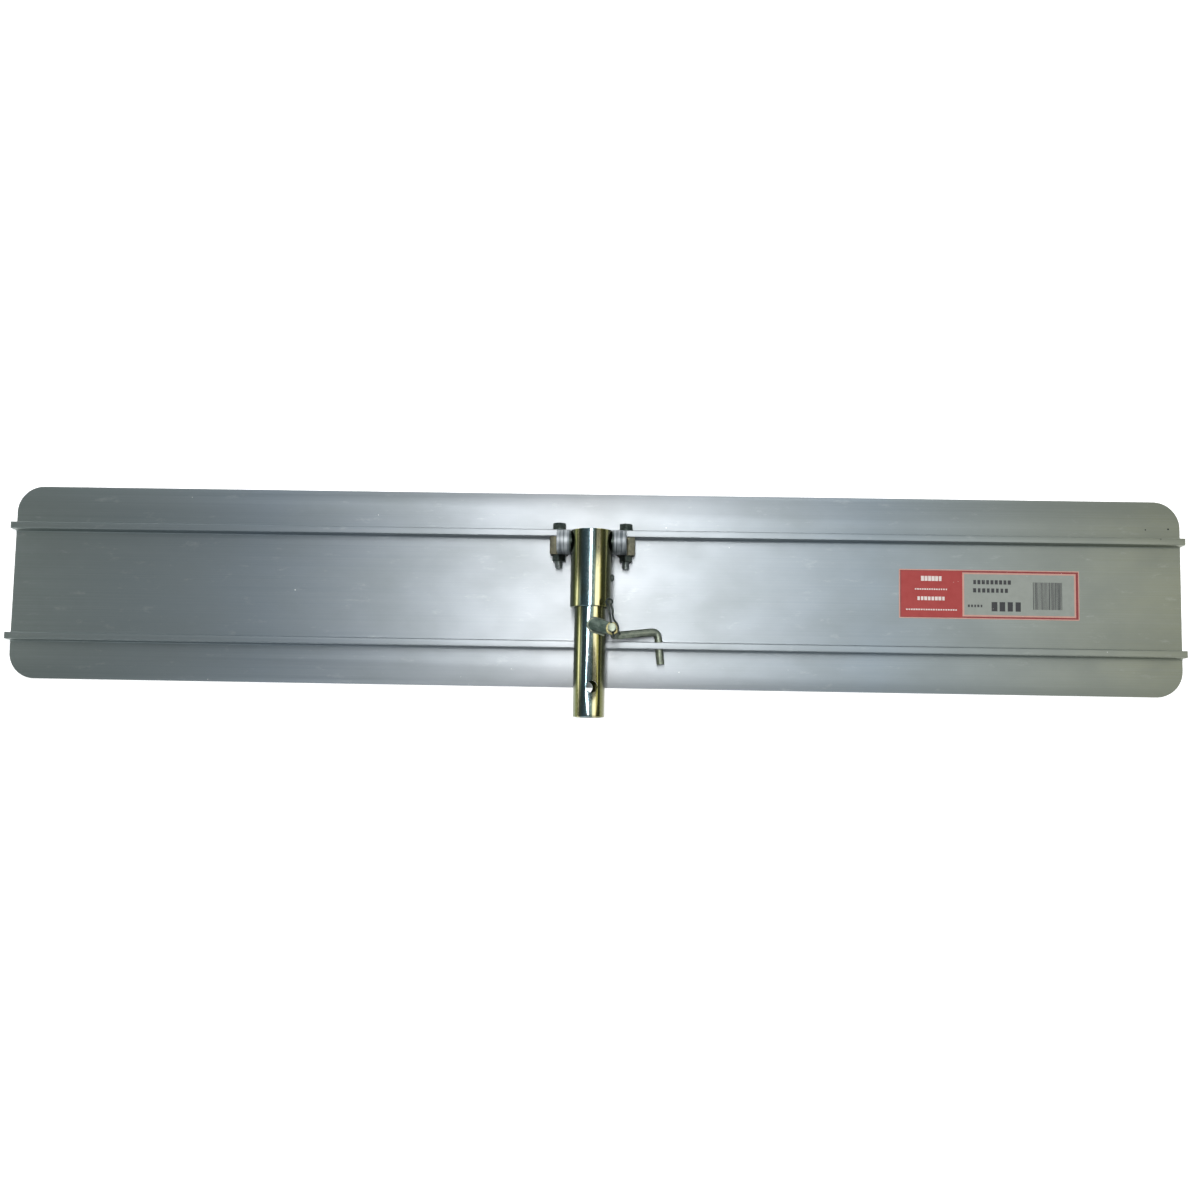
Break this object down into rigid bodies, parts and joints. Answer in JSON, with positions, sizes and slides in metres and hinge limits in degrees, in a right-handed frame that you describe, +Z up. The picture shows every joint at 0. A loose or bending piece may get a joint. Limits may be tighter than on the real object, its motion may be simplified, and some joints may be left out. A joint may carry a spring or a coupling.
{
  "type": "bull float",
  "caption": "Long ribbed aluminium blade for smoothing wet concrete, with a pivoting sleeve and a twisting handle tube whose side crank tilts the blade.",
  "frame": {"origin": "middle of the blade's flat sole, on the surface that the float rests on", "axes": "+X along the blade, towards the crank's side; +Y away from the worker; +Z up, out of the concrete; the handle tube points along -Y"},
  "size_m": [1.2, 0.2314, 0.0697],
  "materials": {
    "mill_aluminium": "extruded mill finish, dull, finely scratched along its length",
    "bright_knuckle": "linished bright around the knuckle",
    "yellow_zinc": "zinc plate with yellow passivation, semi-bright",
    "olive_zinc": "zinc plate with olive passivation, dull",
    "dark_zinc": "weathered zinc plate, dark",
    "label_film": "printed self-adhesive film, red and silver grey"
  },
  "bodies": {
    "float_blade": {"blade": "mill_aluminium", "label": "label_film", "bracket_foot_left": "olive_zinc", "pivot_ear_left": "bright_knuckle", "clamp_bolt_left": "dark_zinc", "clamp_washer_left": "dark_zinc", "clamp_nut_left": "dark_zinc", "bracket_foot_right": "olive_zinc", "pivot_ear_right": "bright_knuckle", "clamp_bolt_right": "dark_zinc", "clamp_washer_right": "dark_zinc", "clamp_nut_right": "dark_zinc"},
    "sleeve": {"outer_sleeve": "yellow_zinc", "retaining_screw": "dark_zinc", "pivot_pin_left": "dark_zinc", "pivot_washer_left": "dark_zinc", "pivot_pin_right": "dark_zinc", "pivot_washer_right": "dark_zinc"},
    "handle": {"handle_tube": "yellow_zinc", "crank_lug": "olive_zinc", "crank_rod": "olive_zinc", "crank_washer": "yellow_zinc"},
    "clip": {"r_clip": "dark_zinc"}
  },
  "joints": [
    {"name": "sleeve_tilt", "type": "hinge", "parent": "float_blade", "child": "sleeve", "pos_m": [0, 0.0454, 0.04165], "axis": [-1, 0, 0], "range_deg": [0, 9]},
    {"name": "handle_twist", "type": "hinge", "parent": "sleeve", "child": "handle", "pos_m": [0, 0, 0.04165], "axis": [0, 1, 0], "range_deg": [0, 13.4]},
    {"name": "clip_pull", "type": "slide", "parent": "handle", "child": "clip", "axis": [-0.1908, 0.9816, 0], "range_m": [0, 0.014]}
  ],
  "couplings": [
    {"joint": "handle_twist", "follows": "sleeve_tilt", "ratio": 1.48}
  ]
}
